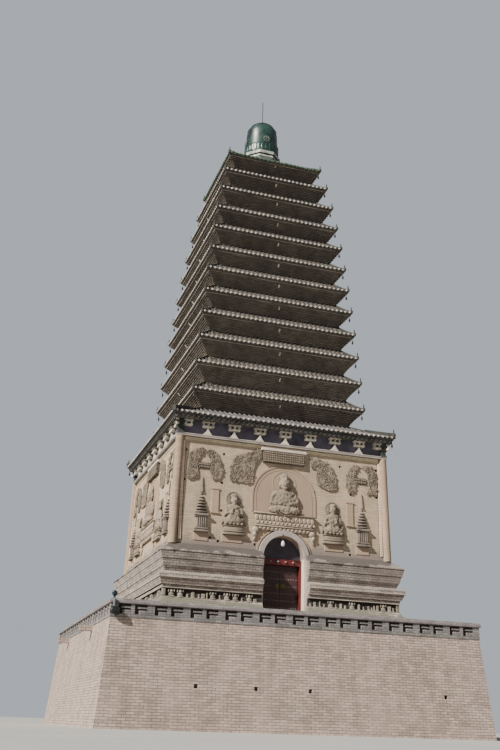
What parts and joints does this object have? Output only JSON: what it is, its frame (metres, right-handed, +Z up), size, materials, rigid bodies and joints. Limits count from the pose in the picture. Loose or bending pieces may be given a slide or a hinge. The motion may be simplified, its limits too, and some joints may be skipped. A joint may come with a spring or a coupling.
{
  "type": "square brick pagoda, 1:2 scale model",
  "caption": "Square close-eaved brick pagoda on a battered platform, with a carved body, corbelled tile eaves, a double-leaf doorway and a glazed dome finial.",
  "frame": {"origin": "the tower's axis at the foot of the platform, where it rests on the ground", "axes": "+Z up, +X to the right along the front face, +Y from the front face to the back"},
  "size_m": [12.08, 11.8, 25.15],
  "materials": {
    "platform_brick": "weathered grey brick in lime mortar",
    "lamp_glass": "dark globe on a short metal stem",
    "plinth_brick": "weathered grey moulded brick",
    "wall_brick": "tan carved brick",
    "floor_brick": "grey floor brick",
    "door_stone": "pale dressed lining",
    "door_paint": "dark red paint on planks",
    "dark_panel": "dark painted panel",
    "bracket_brick": "pale grey carved brick",
    "eave_tile": "grey roof tile, unglazed",
    "eave_brick": "dark weathered corbelled brick",
    "finial_masonry": "pale brick with a white band",
    "green_glaze": "green glaze",
    "rod_iron": "dark iron"
  },
  "bodies": {
    "tower": {"platform": "platform_brick", "spout_left_front": "platform_brick", "spout_left_back": "platform_brick", "spout_right_front": "platform_brick", "spout_right_back": "platform_brick", "parapet_front": "platform_brick", "parapet_right": "platform_brick", "parapet_back": "platform_brick", "parapet_left": "platform_brick", "corner_lamp": "lamp_glass", "plinth_front_left": "plinth_brick", "plinth_front_right": "plinth_brick", "plinth_right": "plinth_brick", "plinth_back": "plinth_brick", "plinth_left": "plinth_brick", "front_wall_left": "wall_brick", "front_wall_right": "wall_brick", "front_wall_over_door": "wall_brick", "right_wall": "wall_brick", "back_wall": "wall_brick", "left_wall": "wall_brick", "corner_column_front_left": "wall_brick", "corner_column_front_right": "wall_brick", "corner_column_back_right": "wall_brick", "corner_column_back_left": "wall_brick", "chamber_floor": "floor_brick", "door_jamb_left": "door_stone", "door_jamb_right": "door_stone", "arch_ring": "door_stone", "door_frame": "door_paint", "door_lunette": "dark_panel", "plate_beam": "bracket_brick", "bracket_course": "bracket_brick", "main_eave": "eave_tile", "storey_02": "eave_brick", "storey_03": "eave_brick", "storey_04": "eave_brick", "storey_05": "eave_brick", "storey_06": "eave_brick", "storey_07": "eave_brick", "storey_08": "eave_brick", "storey_09": "eave_brick", "storey_10": "eave_brick", "storey_11": "eave_brick", "storey_12": "eave_brick", "storey_13": "eave_brick", "finial_base": "finial_masonry", "finial_dome": "green_glaze", "finial_rod": "rod_iron"},
    "left_leaf": {"door_left": "door_paint"},
    "right_leaf": {"door_right": "door_paint"}
  },
  "joints": [
    {"name": "door_left_hinge", "type": "hinge", "parent": "tower", "child": "left_leaf", "pos_m": [-0.57, -3.305, 2.9], "axis": [0, 0, 1], "range_deg": [0, 90]},
    {"name": "door_right_hinge", "type": "hinge", "parent": "tower", "child": "right_leaf", "pos_m": [0.57, -3.305, 2.9], "axis": [0, 0, -1], "range_deg": [0, 90]}
  ]
}
